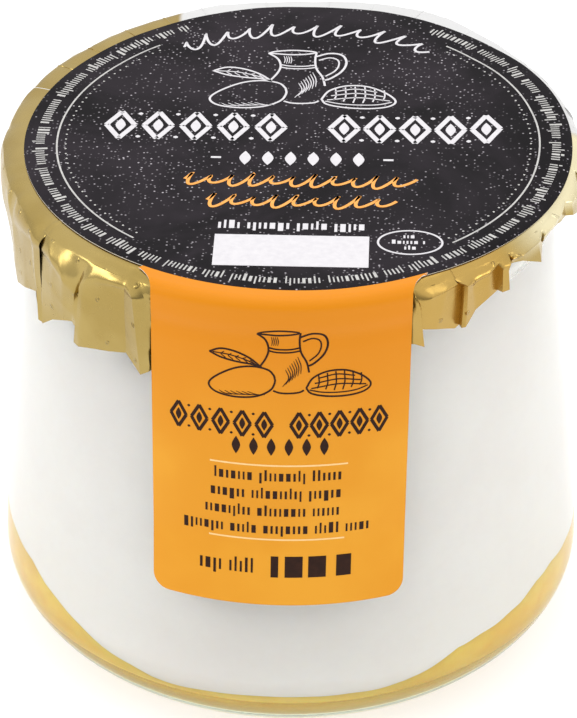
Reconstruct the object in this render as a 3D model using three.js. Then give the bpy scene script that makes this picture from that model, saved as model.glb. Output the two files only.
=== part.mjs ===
// Panna cotta on a mango layer, in its round glass pot, closed with a crimped
// foil lid and a keyhole-shaped paper sticker that folds down the front.
// Millimetres, +Z up. Origin: centre of the pot's foot, on the surface it stands on.
// The sticker's tab hangs on the -Y side.

import * as THREE from 'three';

// ---------------------------------------------------------------- sizes
// glass pot
const FOOT_RECESS_R = 17.0;      // shallow push-up under the base
const FOOT_RECESS_H = 0.9;
const FOOT_IN_R = 18.6;          // flat standing ring, inner and outer edge
const HEEL_R0 = 24.0;
const BELLY_R = 33.0;            // widest radius, low on the pot
const BELLY_Z = 8.2;
const HEEL_POWER = 1.9;          // roundness of the heel curve
const NECK_R = 29.03;            // radius where the neck begins
const NECK_Z = 49.8;
const BODY_BULGE = 0.13;
const RIM_R = 29.9;              // bead that the foil is crimped under
const RIM_Z0 = 52.6;
const RIM_TOP = 57.5;
const WALL = 2.8;
const NECK_BORE_R = 26.5;
const FLOOR_Z = 4.6;
const FLOOR_CORNER = 4.5;
const GLASS_SEG = 64;

// contents
const CLEAR = 0.25;              // room left between the contents and the glass
const FILL_Z = 54.3;             // level of the set cream under the lid
const LAYER_GAP = 0.2;
const MANGO_Z = 9.1;             // mean level of the mango layer
const MANGO_SIDE = 2.0;          // it lies thicker on the -X side
const MANGO_FRONT = 3.1;         // and thinner at the front
const MANGO_BACK = 1.2;
// how much higher or lower it lies near the wall: [degrees from -Y towards +X, mm]
const MANGO_WALL = [[-180, 0], [-150, 0], [-120, 0.3], [-90, 0.6], [-75, 0.9], [-63, 1.2], [-51, 0.4], [-39, -0.5], [-27, -1.0], [-14, -0.7], [0, -0.3],
  [12, -0.1], [27, 0.7], [39, 3.3], [51, 3.6], [63, 4.4], [69, 4.6], [75, 4.1], [90, 3.0], [120, 1.5], [150, 0.5], [180, 0]];
const FILL_SEG = 64;

// foil lid
const FOIL = 0.3;
const LID_TOP = 58.05;
const LID_FLAT_R = 30.3;
const LID_R = 31.2;
const SKIRT_MID_Z = 50.8;        // mean level of the skirt's lower edge
const SKIRT_SHIFT = 5.1;         // the foil disc lies off centre: long on -X, short on +X
const SKIRT_R = 30.85;
const PLEAT = 0.55;              // how far a pleat's free edge stands proud
const PLEAT_STEP = 1.5;          // degrees taken by the step between two pleats
// angles of the hand-crimped folds round the front, in degrees from -Y towards +X
const FRONT_FOLDS = [-72, -55.5, -44, -30, -14, 2, 16, 36.2, 50.2, 61.5, 73];
const BACK_PLEATS = 17;          // even run of folds round the sides and back

// sticker
const PAPER = 0.2;
const LABEL_TOP = 58.38;
const LABEL_R = 29.75;
const LABEL_X = 0.75;            // stuck on slightly off centre
const LABEL_Y = 0.35;
const TAB_HALF = 13.85;          // half width, measured round the pot
const TAB_TURN = 1.2;            // degrees from -Y, at the fold
const TAB_TURN_END = 0.35;       // and at its lower end
const TAB_FILLET = 2.6;
const TAB_CORNER = 1.8;
const TAB_FOLD_R = 1.3;
const TAB_R = 31.75;             // outer face of the hanging tab, over the foil
const TAB_END_Z = 20.0;

const rad = (d) => (d * Math.PI) / 180;

// ---------------------------------------------------------------- helpers
function solid(points, faces) {
  const g = new THREE.BufferGeometry();
  g.setAttribute('position', new THREE.BufferAttribute(new Float32Array(points.flat()), 3));
  g.setIndex(faces.flat());
  g.computeVertexNormals();
  return g;
}

// Closed solid from rings of equal length. Each ring is a list of [x, y, z];
// the first and last are single points on the axis.
function stack(first, rings, last) {
  const n = rings[0].length;
  const pts = [first];
  const faces = [];
  for (const ring of rings) pts.push(...ring);
  pts.push(last);
  for (let j = 0; j < n; j++) {
    const k = (j + 1) % n;
    faces.push([0, 1 + k, 1 + j]);
    for (let i = 0; i + 1 < rings.length; i++) {
      const a = 1 + i * n + j, b = 1 + i * n + k, c = a + n, d = b + n;
      faces.push([a, b, d], [a, d, c]);
    }
    const m = 1 + (rings.length - 1) * n;
    faces.push([pts.length - 1, m + j, m + k]);
  }
  return solid(pts, faces);
}

// An open sheet given a thickness on its inner side, closed all round its edges.
function thicken(points, faces, thickness) {
  const count = points.length;
  const normal = points.map(() => new THREE.Vector3());
  const a = new THREE.Vector3(), b = new THREE.Vector3(), c = new THREE.Vector3();
  for (const [i, j, k] of faces) {
    a.fromArray(points[i]); b.fromArray(points[j]); c.fromArray(points[k]);
    const u = b.clone().sub(a), v = c.clone().sub(a);
    const nrm = u.cross(v).normalize();
    for (const [p, q, r] of [[a, b, c], [b, c, a], [c, a, b]]) {
      const w = q.clone().sub(p).angleTo(r.clone().sub(p));
      const idx = p === a ? i : p === b ? j : k;
      normal[idx].addScaledVector(nrm, w);
    }
  }
  const all = points.slice();
  for (let i = 0; i < count; i++) {
    normal[i].normalize();
    const p = points[i];
    all.push([
      p[0] - normal[i].x * thickness,
      p[1] - normal[i].y * thickness,
      p[2] - normal[i].z * thickness,
    ]);
  }
  const out = faces.slice();
  for (const [i, j, k] of faces) out.push([i + count, k + count, j + count]);
  const edges = new Set();
  for (const [i, j, k] of faces) for (const [p, q] of [[i, j], [j, k], [k, i]]) edges.add(p + '_' + q);
  for (const e of edges) {
    const [p, q] = e.split('_').map(Number);
    if (!edges.has(q + '_' + p)) out.push([q, p, p + count], [q, p + count, q + count]);
  }
  return solid(all, out);
}

// ---------------------------------------------------------------- glass pot
function outerRadius(z) {
  if (z >= BELLY_Z) {
    const u = (z - BELLY_Z) / (NECK_Z - BELLY_Z);
    return BELLY_R + (NECK_R - BELLY_R) * (u * (1 - BODY_BULGE) + BODY_BULGE * u * u);
  }
  const a = Math.acos(Math.pow(Math.max(0, 1 - z / BELLY_Z), HEEL_POWER / 2));
  return HEEL_R0 + (BELLY_R - HEEL_R0) * Math.pow(Math.sin(a), 2 / HEEL_POWER);
}

function boreRadius(z) {
  const wall = outerRadius(Math.max(z, BELLY_Z)) - WALL;
  const neck = NECK_BORE_R + Math.max(0, (50 - z) * 0.09);
  let r = Math.min(wall, neck);
  const up = z - FLOOR_Z;
  if (up < FLOOR_CORNER) {
    const d = FLOOR_CORNER - Math.max(0, up);
    r -= FLOOR_CORNER - Math.sqrt(Math.max(0, FLOOR_CORNER * FLOOR_CORNER - d * d));
  }
  return r;
}

const potProfile = [];
potProfile.push([0, FOOT_RECESS_H], [FOOT_RECESS_R, FOOT_RECESS_H], [FOOT_IN_R, 0], [HEEL_R0, 0]);
for (const t of [0.2, 0.4, 0.58, 0.76, 0.9, 1]) {
  const a = (t * Math.PI) / 2;
  potProfile.push([
    HEEL_R0 + (BELLY_R - HEEL_R0) * Math.pow(Math.sin(a), 2 / HEEL_POWER),
    BELLY_Z * (1 - Math.pow(Math.cos(a), 2 / HEEL_POWER)),
  ]);
}
for (const z of [22, 36, NECK_Z, RIM_Z0]) potProfile.push([outerRadius(z), z]);
potProfile.push([RIM_R - 0.5, RIM_Z0 + 1.2], [RIM_R, RIM_Z0 + 2.4], [RIM_R, RIM_TOP - 1.0],
  [RIM_R - 0.9, RIM_TOP], [NECK_BORE_R + 0.9, RIM_TOP], [NECK_BORE_R, RIM_TOP - 0.9]);
for (const z of [50, 30, FLOOR_Z + FLOOR_CORNER]) potProfile.push([boreRadius(z), z]);
for (const d of [18, 40, 65]) {
  const z = FLOOR_Z + FLOOR_CORNER * (1 - Math.sin(rad(d)));
  potProfile.push([boreRadius(z), z]);
}
potProfile.push([boreRadius(FLOOR_Z) - 0.4, FLOOR_Z], [0, FLOOR_Z]);

function revolve(profile, segments) {
  const ring = ([r, z]) => {
    const out = [];
    for (let j = 0; j < segments; j++) {
      const a = (2 * Math.PI * j) / segments;
      out.push([r * Math.cos(a), r * Math.sin(a), z]);
    }
    return out;
  };
  const inner = profile.slice(1, -1).map(ring);
  const p = profile[0], q = profile[profile.length - 1];
  return stack([0, 0, p[1]], inner, [0, 0, q[1]]);
}

const glassPot = new THREE.Mesh(
  revolve(potProfile, GLASS_SEG),
  new THREE.MeshStandardMaterial({ color: 0xdfe6dd, roughness: 0.04, metalness: 0, transparent: true, opacity: 0.35 }),
);
glassPot.name = 'glass_pot';

// ---------------------------------------------------------------- contents
// The polygon of the bore cuts inside its circle, so the contents are sized to its flats.
const FLAT = Math.cos(Math.PI / GLASS_SEG);

function besideWall(deg) {
  for (let i = 1; i < MANGO_WALL.length; i++) {
    const [a0, h0] = MANGO_WALL[i - 1], [a1, h1] = MANGO_WALL[i];
    if (deg <= a1) return h0 + ((h1 - h0) * (deg - a0)) / (a1 - a0);
  }
  return 0;
}

function mangoLevel(x, y) {
  const front = Math.max(0, -y / 30), back = Math.max(0, y / 30);
  const side = -x / 30;
  const wave = 0.28 * Math.sin(0.19 * x + 0.6) + 0.22 * Math.sin(0.23 * y - 0.11 * x + 2.1);
  const wall = besideWall((Math.atan2(x, -y) * 180) / Math.PI) * ((x * x + y * y) / 900);
  return MANGO_Z + MANGO_SIDE * side - MANGO_FRONT * front + MANGO_BACK * back + wave + wall;
}

// radius of the bore's own faceted wall at height z
const boreWall = potProfile.slice(-9, -1).reverse();
function facetRadius(z) {
  for (let i = 0; i + 1 < boreWall.length; i++) {
    const [r0, z0] = boreWall[i], [r1, z1] = boreWall[i + 1];
    if (z <= z1) return r0 + ((r1 - r0) * (Math.max(z, z0) - z0)) / (z1 - z0);
  }
  return NECK_BORE_R;
}
const fillRadius = (z) => facetRadius(z) * FLAT - CLEAR;
const angle = (j, n) => (2 * Math.PI * j) / n;

// level where the layer meets the wall at angle a
function wallLevel(a) {
  let z = MANGO_Z;
  for (let i = 0; i < 30; i++) {
    const r = fillRadius(z);
    z = mangoLevel(r * Math.cos(a), r * Math.sin(a));
  }
  return z;
}

function interface_(offset, shares) {
  // rings of the layer boundary, from the middle outwards
  return shares.map((s) => {
    const ring = [];
    for (let j = 0; j < FILL_SEG; j++) {
      const a = angle(j, FILL_SEG);
      const z0 = wallLevel(a);
      const r = fillRadius(z0 + offset) * s;
      const x = r * Math.cos(a), y = r * Math.sin(a);
      ring.push([x, y, (s === 1 ? z0 : mangoLevel(x, y)) + offset]);
    }
    return ring;
  });
}

const flatRing = (r, z, n) => Array.from({ length: n }, (_, j) => [r * Math.cos(angle(j, n)), r * Math.sin(angle(j, n)), z]);

const creamRings = interface_(LAYER_GAP / 2, [0.35, 0.7, 1]);
for (const u of [0.12, 0.3, 0.6]) {
  const ring = [];
  for (let j = 0; j < FILL_SEG; j++) {
    const a = angle(j, FILL_SEG);
    const z0 = wallLevel(a) + LAYER_GAP / 2;
    const z = z0 + (49.5 - z0) * u;
    const r = fillRadius(z);
    ring.push([r * Math.cos(a), r * Math.sin(a), z]);
  }
  creamRings.push(ring);
}
creamRings.push(flatRing(fillRadius(50), 50, FILL_SEG));
creamRings.push(flatRing(fillRadius(FILL_Z) - 0.1, FILL_Z, FILL_SEG));

const pannaCotta = new THREE.Mesh(
  stack([0, 0, mangoLevel(0, 0) + LAYER_GAP / 2], creamRings, [0, 0, FILL_Z]),
  new THREE.MeshStandardMaterial({ color: 0xf4f2ee, roughness: 0.45, metalness: 0 }),
);
pannaCotta.name = 'panna_cotta';

const mangoRings = [];
mangoRings.push(flatRing(fillRadius(FLOOR_Z) - 0.6, FLOOR_Z + CLEAR, FILL_SEG));
for (const u of [0.35, 0.7]) {
  const ring = [];
  for (let j = 0; j < FILL_SEG; j++) {
    const a = angle(j, FILL_SEG);
    const z = FLOOR_Z + CLEAR + (wallLevel(a) - LAYER_GAP / 2 - FLOOR_Z - CLEAR) * u;
    const r = fillRadius(z);
    ring.push([r * Math.cos(a), r * Math.sin(a), z]);
  }
  mangoRings.push(ring);
}
mangoRings.push(...interface_(-LAYER_GAP / 2, [1, 0.7, 0.35]));

const mangoLayer = new THREE.Mesh(
  stack([0, 0, FLOOR_Z + CLEAR], mangoRings, [0, 0, mangoLevel(0, 0) - LAYER_GAP / 2]),
  new THREE.MeshStandardMaterial({ color: 0xe9b64a, roughness: 0.35, metalness: 0 }),
);
mangoLayer.name = 'mango_layer';

// ---------------------------------------------------------------- foil lid
const folds = FRONT_FOLDS.slice();
{
  const from = FRONT_FOLDS[FRONT_FOLDS.length - 1], to = FRONT_FOLDS[0] + 360;
  const step = (to - from) / (BACK_PLEATS + 1);
  for (let i = 1; i <= BACK_PLEATS; i++) folds.push(from + step * (i + 0.28 * Math.sin(i * 2.4)));
}

const skirtEdge = (deg) => SKIRT_MID_Z + SKIRT_SHIFT * Math.sin(rad(deg));

const columns = [];
for (let i = 0; i < folds.length; i++) {
  const a = folds[i], b = i + 1 < folds.length ? folds[i + 1] : folds[0] + 360;
  const lean = 0.7 + 0.3 * Math.sin(i * 1.7);
  const jag = 0.7 * Math.sin(i * 2.9 + 0.4);
  for (const t of [0, 0.5, 1]) {
    const deg = a + PLEAT_STEP / 2 + (b - a - PLEAT_STEP) * t;
    columns.push({ deg, out: PLEAT * lean * (1 - 2 * t), edge: skirtEdge(deg) + jag + (t - 0.5) * 0.9 });
  }
}

const lidPoints = [[0, 0, LID_TOP]];
const lidFaces = [];
const lidRows = [
  (c) => [12, LID_TOP],
  (c) => [LID_FLAT_R, LID_TOP],
  (c) => [LID_R - 0.28, LID_TOP - 0.26],
  (c) => [LID_R, LID_TOP - 0.9],
  (c) => [SKIRT_R + 0.2 + c.out * 0.15, LID_TOP - 2.0],
  (c) => [SKIRT_R + c.out * 0.6, LID_TOP - 2.0 - (LID_TOP - 2.0 - c.edge) * 0.5],
  (c) => [SKIRT_R + c.out, c.edge],
];
for (const row of lidRows) {
  for (const c of columns) {
    const [r, z] = row(c);
    // under the sticker's tab the foil is pressed flat
    const pressed = Math.min(r, 31.2);
    lidPoints.push([pressed * Math.sin(rad(c.deg)), -pressed * Math.cos(rad(c.deg)), z]);
  }
}
{
  const n = columns.length;
  for (let j = 0; j < n; j++) {
    const k = (j + 1) % n;
    lidFaces.push([0, 1 + j, 1 + k]);
    for (let i = 0; i + 1 < lidRows.length; i++) {
      const a = 1 + i * n + j, b = 1 + i * n + k;
      lidFaces.push([a, a + n, b + n], [a, b + n, b]);
    }
  }
}

const foilLid = new THREE.Mesh(
  thicken(lidPoints, lidFaces, FOIL),
  new THREE.MeshStandardMaterial({ color: 0xcdb870, roughness: 0.28, metalness: 1 }),
);
foilLid.name = 'foil_lid';

// ---------------------------------------------------------------- sticker
// Path of the paper over the edge: distance run -> radius and height.
function tabPath(run) {
  const flat = TAB_R - TAB_FOLD_R;
  const startR = LABEL_R - LABEL_Y;
  let s = run;
  if (s <= flat - startR) return [startR + s, LABEL_TOP];
  s -= flat - startR;
  const bend = (Math.PI / 2) * TAB_FOLD_R;
  if (s <= bend) {
    const a = s / TAB_FOLD_R;
    return [flat + TAB_FOLD_R * Math.sin(a), LABEL_TOP - TAB_FOLD_R * (1 - Math.cos(a))];
  }
  s -= bend;
  const z = LABEL_TOP - TAB_FOLD_R - s;
  const onGlass = outerRadius(z) + 0.5;
  return [Math.max(TAB_R, onGlass), z];
}
const TAB_RUN = (TAB_R - TAB_FOLD_R) - (LABEL_R - LABEL_Y) + (Math.PI / 2) * TAB_FOLD_R
  + (LABEL_TOP - TAB_FOLD_R - TAB_END_Z);

function tabHalf(run) {
  let w = TAB_HALF;
  if (run < TAB_FILLET) {
    const d = TAB_FILLET - run;
    w += TAB_FILLET - Math.sqrt(TAB_FILLET * TAB_FILLET - d * d);
  }
  const left = TAB_RUN - run;
  if (left < TAB_CORNER) {
    const d = TAB_CORNER - left;
    w -= TAB_CORNER - Math.sqrt(Math.max(0, TAB_CORNER * TAB_CORNER - d * d));
  }
  return w;
}

const labelPoints = [[LABEL_X, LABEL_Y, LABEL_TOP]];
const labelFaces = [];
const TAB_COLS = 14, DISC_REST = 38;
const tabSpan = tabHalf(0) / TAB_R;          // radians each side at the disc's edge
const discAngles = [];
for (let j = 0; j <= TAB_COLS; j++) discAngles.push(rad(TAB_TURN) - tabSpan + (2 * tabSpan * j) / TAB_COLS);
{
  const from = discAngles[TAB_COLS], to = discAngles[0] + 2 * Math.PI;
  for (let j = 1; j < DISC_REST; j++) discAngles.push(from + ((to - from) * j) / DISC_REST);
}
// how far the round part reaches from the pot's axis, in direction a from -Y
function discReach(a) {
  const dx = Math.sin(a), dy = -Math.cos(a);
  const b = dx * LABEL_X + dy * LABEL_Y;
  return b + Math.sqrt(b * b - LABEL_X * LABEL_X - LABEL_Y * LABEL_Y + LABEL_R * LABEL_R);
}
// paper that runs past the lid's flat bends down with the bead
function overLid(reach) {
  const flat = TAB_R - TAB_FOLD_R - 0.1;
  if (reach <= flat) return [reach, LABEL_TOP];
  const a = (reach - flat) / TAB_FOLD_R;
  return [flat + TAB_FOLD_R * Math.sin(a), LABEL_TOP - TAB_FOLD_R * (1 - Math.cos(a))];
}
for (const share of [0.5, 0.97, 1]) {
  for (const a of discAngles) {
    const [r, z] = overLid(discReach(a) * share);
    labelPoints.push([r * Math.sin(a), -r * Math.cos(a), z]);
  }
}
{
  const n = discAngles.length;
  for (let j = 0; j < n; j++) {
    const k = (j + 1) % n;
    labelFaces.push([0, 1 + j, 1 + k]);
    for (let i = 0; i < 2; i++) {
      const a = 1 + i * n + j, b = 1 + i * n + k;
      labelFaces.push([a, a + n, b + n], [a, b + n, b]);
    }
  }
  let above = [];
  for (let j = 0; j <= TAB_COLS; j++) above.push(1 + 2 * n + j);
  const runs = [0.9, 1.5, 2.1, 2.7, 5, 10, 16, 22, 26, 31, TAB_RUN - TAB_CORNER,
    TAB_RUN - TAB_CORNER * 0.45, TAB_RUN - TAB_CORNER * 0.12, TAB_RUN];
  for (const run of runs) {
    const [r, z] = tabPath(run);
    const w = tabHalf(run) / r;
    const mid = rad(TAB_TURN + (TAB_TURN_END - TAB_TURN) * (run / TAB_RUN));
    const row = [];
    for (let j = 0; j <= TAB_COLS; j++) {
      const a = mid - w + (2 * w * j) / TAB_COLS;
      row.push(labelPoints.length);
      labelPoints.push([r * Math.sin(a), -r * Math.cos(a), z]);
    }
    for (let j = 0; j < TAB_COLS; j++) {
      labelFaces.push([above[j], row[j], row[j + 1]], [above[j], row[j + 1], above[j + 1]]);
    }
    above = row;
  }
}

const label = new THREE.Mesh(
  thicken(labelPoints, labelFaces, PAPER),
  new THREE.MeshStandardMaterial({ color: 0x2b2a2c, roughness: 0.5, metalness: 0 }),
);
label.name = 'label';

// ---------------------------------------------------------------- assembly
const pot = new THREE.Group();
pot.add(glassPot, mangoLayer, pannaCotta, foilLid, label);

export default pot;
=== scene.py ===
import math

import bpy
import numpy as np
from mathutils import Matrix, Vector


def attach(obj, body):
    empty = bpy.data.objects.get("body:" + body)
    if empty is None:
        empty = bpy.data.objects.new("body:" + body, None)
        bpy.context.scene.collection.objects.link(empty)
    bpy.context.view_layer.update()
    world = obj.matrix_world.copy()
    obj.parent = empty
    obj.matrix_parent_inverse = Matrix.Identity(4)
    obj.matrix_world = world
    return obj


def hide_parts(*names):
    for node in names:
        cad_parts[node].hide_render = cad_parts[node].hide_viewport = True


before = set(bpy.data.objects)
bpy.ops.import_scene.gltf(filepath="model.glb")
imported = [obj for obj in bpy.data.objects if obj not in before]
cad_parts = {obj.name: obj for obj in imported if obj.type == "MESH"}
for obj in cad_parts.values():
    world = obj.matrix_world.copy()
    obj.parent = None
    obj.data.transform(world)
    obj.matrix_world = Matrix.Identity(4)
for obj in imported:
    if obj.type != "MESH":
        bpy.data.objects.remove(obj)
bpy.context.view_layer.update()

MM = 0.001
rng = np.random.default_rng(7)

# ------------------------------------------------------------------ sizes, mm
# The same driving sizes as the construction model.
FOOT_RECESS_R, FOOT_RECESS_H, FOOT_IN_R, HEEL_R0 = 17.0, 0.9, 18.6, 24.0
BELLY_R, BELLY_Z, HEEL_POWER = 33.0, 8.2, 1.9
NECK_R, NECK_Z, BODY_BULGE = 29.03, 49.8, 0.13
RIM_R, RIM_Z0, RIM_TOP = 29.9, 52.6, 57.5
WALL, NECK_BORE_R, FLOOR_Z, FLOOR_CORNER = 2.8, 26.5, 4.6, 4.5
FILL_Z = 54.3
MANGO_Z, MANGO_SIDE, MANGO_FRONT, MANGO_BACK = 9.1, 2.0, 3.1, 1.2
LID_TOP = 58.05
SKIRT_MID_Z, SKIRT_SHIFT = 50.8, 5.1
LABEL_TOP, LABEL_R, LABEL_X, LABEL_Y = 58.38, 29.75, 0.75, 0.35
TAB_HALF, TAB_TURN, TAB_TURN_END = 13.85, 1.2, 0.35
TAB_FILLET, TAB_CORNER, TAB_FOLD_R, TAB_R, TAB_END_Z = 2.6, 1.8, 1.3, 31.75, 20.0
PAPER = 0.09


# ------------------------------------------------------------------ helpers
def smooth(t):
    t = np.clip(t, 0, 1)
    return t * t * (3 - 2 * t)


def make_mesh(name, verts, faces, mats=(), face_mat=None, sharp=None, uv=None):
    """verts in mm. faces: list of tuples."""
    me = bpy.data.meshes.new(name)
    me.from_pydata([tuple(v) for v in np.asarray(verts, float) * MM], [], [tuple(int(i) for i in f) for f in faces])
    me.validate()
    for m in mats:
        me.materials.append(m)
    if face_mat is not None:
        me.polygons.foreach_set("material_index", np.asarray(face_mat, np.int32))
    me.polygons.foreach_set("use_smooth", np.ones(len(me.polygons), bool))
    if uv is not None:
        layer = me.uv_layers.new(name="flat")
        loops = np.zeros(len(me.loops), np.int32)
        me.loops.foreach_get("vertex_index", loops)
        layer.data.foreach_set("uv", np.asarray(uv, np.float32)[loops].ravel())
    if sharp is not None:
        me.set_sharp_from_angle(angle=math.radians(sharp))
    me.update()
    ob = bpy.data.objects.new(name, me)
    bpy.context.scene.collection.objects.link(ob)
    return ob


def lathe(profile, n):
    """Closed solid of revolution. profile: (r, z), first and last on the axis."""
    prof = np.asarray(profile, float)
    a = np.linspace(0, 2 * np.pi, n, endpoint=False)
    body = prof[1:-1]
    v = [[0, 0, prof[0, 1]]]
    ring = np.stack([body[:, 0, None] * np.cos(a), body[:, 0, None] * np.sin(a), np.repeat(body[:, 1, None], n, 1)], -1)
    v = np.vstack([[[0, 0, prof[0, 1]]], ring.reshape(-1, 3), [[0, 0, prof[-1, 1]]]])
    return v, ring_faces(len(body), n)


def ring_faces(m, n):
    f = []
    last = 1 + m * n
    for j in range(n):
        k = (j + 1) % n
        f.append((0, 1 + k, 1 + j))
        for i in range(m - 1):
            a, b = 1 + i * n + j, 1 + i * n + k
            f.append((a, b, b + n, a + n))
        q = 1 + (m - 1) * n
        f.append((last, q + j, q + k))
    return f


def thicken(verts, faces, t, face_mat=None):
    """Closes an open sheet by adding its inner side at distance t (mm) and its edges."""
    v = np.asarray(verts, float)
    n = np.zeros_like(v)
    for f in faces:
        p = v[list(f)]
        c = np.cross(p[1] - p[0], p[2] - p[0])
        if len(f) == 4:
            c = np.cross(p[2] - p[0], p[3] - p[1])
        l = np.linalg.norm(c)
        if l > 0:
            n[list(f)] += c / l
    n /= np.maximum(np.linalg.norm(n, axis=1, keepdims=True), 1e-9)
    count = len(v)
    out = [tuple(f) for f in faces] + [tuple(i + count for i in reversed(f)) for f in faces]
    mats = None if face_mat is None else list(face_mat) * 2
    edges = {}
    for fi, f in enumerate(faces):
        for i in range(len(f)):
            edges[(f[i], f[(i + 1) % len(f)])] = fi
    for (p, q), fi in edges.items():
        if (q, p) not in edges:
            out.append((q, p, p + count, q + count))
            if mats is not None:
                mats.append(face_mat[fi])
    return np.vstack([v, v - n * t]), out, mats


# ------------------------------------------------------------------ materials
def new_mat(name):
    m = bpy.data.materials.new(name)
    m.use_nodes = True
    nt = m.node_tree
    p = nt.nodes["Principled BSDF"]
    return m, nt, p


def node(nt, kind, **inputs):
    n = nt.nodes.new(kind)
    for k, val in inputs.items():
        n.inputs[k.replace("_", " ")].default_value = val
    return n


def noise(nt, coords, scale, detail=3.0, rough=0.5, dist=0.0):
    n = nt.nodes.new("ShaderNodeTexNoise")
    n.inputs["Scale"].default_value = scale
    n.inputs["Detail"].default_value = detail
    n.inputs["Roughness"].default_value = rough
    n.inputs["Distortion"].default_value = dist
    nt.links.new(coords, n.inputs["Vector"])
    return n.outputs["Fac"]


def remap(nt, value, lo, hi, a, b, smoothed=False):
    n = nt.nodes.new("ShaderNodeMapRange")
    n.interpolation_type = "SMOOTHSTEP" if smoothed else "LINEAR"
    n.inputs["From Min"].default_value = lo
    n.inputs["From Max"].default_value = hi
    n.inputs["To Min"].default_value = a
    n.inputs["To Max"].default_value = b
    nt.links.new(value, n.inputs["Value"])
    return n.outputs["Result"]


def math_node(nt, op, a, b):
    n = nt.nodes.new("ShaderNodeMath")
    n.operation = op
    for i, x in enumerate((a, b)):
        if isinstance(x, (int, float)):
            n.inputs[i].default_value = x
        else:
            nt.links.new(x, n.inputs[i])
    return n.outputs[0]


def mix_colour(nt, fac, a, b):
    n = nt.nodes.new("ShaderNodeMix")
    n.data_type = "RGBA"
    if isinstance(fac, (int, float)):
        n.inputs[0].default_value = fac
    else:
        nt.links.new(fac, n.inputs[0])
    for idx, x in ((6, a), (7, b)):
        if isinstance(x, tuple):
            n.inputs[idx].default_value = (*x, 1)
        else:
            nt.links.new(x, n.inputs[idx])
    return n.outputs[2]


def bump(nt, p, height, strength, distance_mm, after=None):
    n = nt.nodes.new("ShaderNodeBump")
    n.inputs["Strength"].default_value = strength
    n.inputs["Distance"].default_value = distance_mm * MM
    nt.links.new(height, n.inputs["Height"])
    if after is not None:
        nt.links.new(after, n.inputs["Normal"])
    nt.links.new(n.outputs["Normal"], p.inputs["Normal"])
    return n.outputs["Normal"]


def obj_coords(nt):
    return nt.nodes.new("ShaderNodeTexCoord").outputs["Object"]


def uv_coords(nt):
    n = nt.nodes.new("ShaderNodeUVMap")
    n.uv_map = "flat"
    return n.outputs["UV"]


def srgb(r, g, b):
    f = lambda c: c / 12.92 if c <= 0.04045 else ((c + 0.055) / 1.055) ** 2.4
    return tuple(f(x / 255) for x in (r, g, b))


def glass_material():
    m, nt, p = new_mat("pot_glass")
    p.inputs["Base Color"].default_value = (0.985, 0.988, 0.975, 1)
    p.inputs["Roughness"].default_value = 0.0
    p.inputs["IOR"].default_value = 1.5
    p.inputs["Transmission Weight"].default_value = 1.0
    c = obj_coords(nt)
    wave = noise(nt, c, 90, 2, 0.4)
    bump(nt, p, wave, 0.25, 0.06)
    # lamps reach what is behind the glass
    lp = nt.nodes.new("ShaderNodeLightPath")
    tr = nt.nodes.new("ShaderNodeBsdfTransparent")
    tr.inputs["Color"].default_value = (0.93, 0.95, 0.93, 1)
    mx = nt.nodes.new("ShaderNodeMixShader")
    out = nt.nodes["Material Output"]
    nt.links.new(lp.outputs["Is Shadow Ray"], mx.inputs[0])
    nt.links.new(p.outputs[0], mx.inputs[1])
    nt.links.new(tr.outputs[0], mx.inputs[2])
    nt.links.new(mx.outputs[0], out.inputs["Surface"])
    deep = nt.nodes.new("ShaderNodeVolumeAbsorption")
    deep.inputs["Color"].default_value = (0.83, 0.90, 0.76, 1)
    deep.inputs["Density"].default_value = 30
    nt.links.new(deep.outputs[0], out.inputs["Volume"])
    return m


def cream_material():
    m, nt, p = new_mat("set_cream")
    c = obj_coords(nt)
    n1 = noise(nt, c, 60, 4, 0.55)
    n2 = noise(nt, c, 900, 3, 0.6)
    t = math_node(nt, "ADD", math_node(nt, "MULTIPLY", n1, 0.8), math_node(nt, "MULTIPLY", n2, 0.2))
    col = mix_colour(nt, remap(nt, t, 0.35, 0.65, 0, 1, True), (0.925, 0.877, 0.880), (0.960, 0.918, 0.922))
    nt.links.new(col, p.inputs["Base Color"])
    nt.links.new(remap(nt, n1, 0.3, 0.7, 0.34, 0.5), p.inputs["Roughness"])
    p.inputs["Subsurface Weight"].default_value = 0.25
    p.inputs["Subsurface Radius"].default_value = (1.0, 0.85, 0.7)
    p.inputs["Subsurface Scale"].default_value = 0.0012
    bump(nt, p, n2, 0.2, 0.03)
    return m


def mango_material():
    m, nt, p = new_mat("mango_puree")
    c = obj_coords(nt)
    n1 = noise(nt, c, 140, 4, 0.6)
    n2 = noise(nt, c, 520, 3, 0.6)
    t = math_node(nt, "ADD", math_node(nt, "MULTIPLY", n1, 0.7), math_node(nt, "MULTIPLY", n2, 0.3))
    col = mix_colour(nt, remap(nt, t, 0.34, 0.66, 0, 1, True), (0.84, 0.50, 0.045), (0.91, 0.62, 0.085))
    nt.links.new(col, p.inputs["Base Color"])
    nt.links.new(remap(nt, n2, 0.3, 0.7, 0.28, 0.45), p.inputs["Roughness"])
    p.inputs["Subsurface Weight"].default_value = 0.5
    p.inputs["Subsurface Radius"].default_value = (1.0, 0.6, 0.2)
    p.inputs["Subsurface Scale"].default_value = 0.003
    bump(nt, p, n2, 0.25, 0.05)
    return m


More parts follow.
